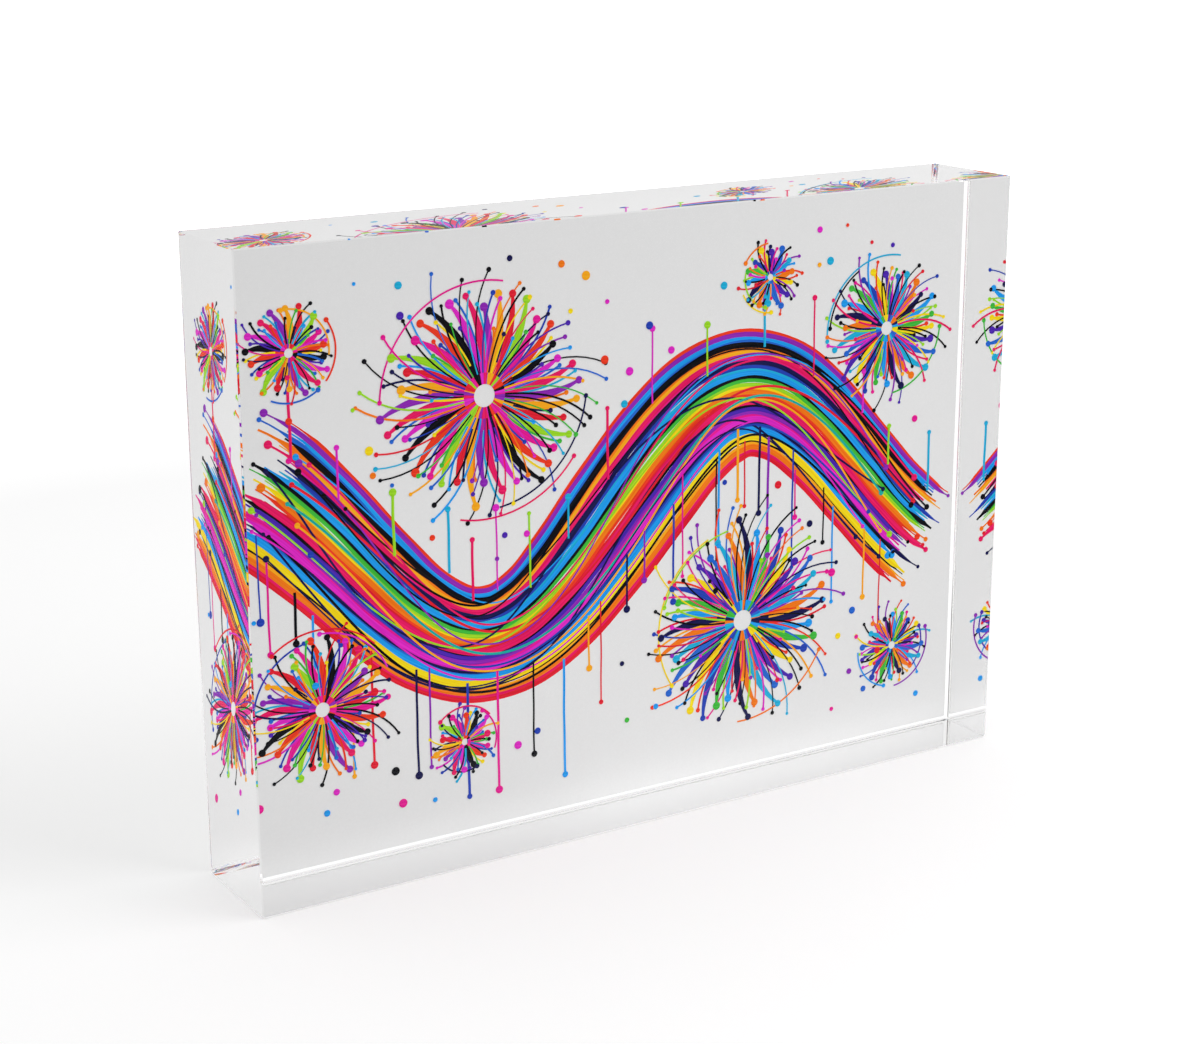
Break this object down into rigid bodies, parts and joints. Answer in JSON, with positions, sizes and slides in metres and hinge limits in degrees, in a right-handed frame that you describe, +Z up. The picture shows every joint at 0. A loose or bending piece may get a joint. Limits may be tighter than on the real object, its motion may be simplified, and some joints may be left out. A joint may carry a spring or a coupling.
{
  "type": "crystal photo block",
  "caption": "Free-standing clear acrylic block with polished chamfered edges, a colourful print bonded to its back and a white backing sheet over the print.",
  "frame": {"origin": "middle of the block's footprint, on the surface that it stands on", "axes": "+X along the block's width to the right as the picture is seen, +Y to the back, +Z up"},
  "size_m": [0.1778, 0.0254, 0.127],
  "materials": {
    "acrylic": "clear cast acrylic, diamond polished",
    "clear_adhesive": "optically clear adhesive film",
    "print": "white photo paper with a printed design in many colours",
    "backing_adhesive": "milky adhesive film",
    "backing": "white vinyl, fine matt grain"
  },
  "bodies": {
    "root": {"acrylic_block": "acrylic", "clear_adhesive": "clear_adhesive", "photo_print": "print", "backing_adhesive": "backing_adhesive", "backing_sheet": "backing"}
  },
  "joints": []
}
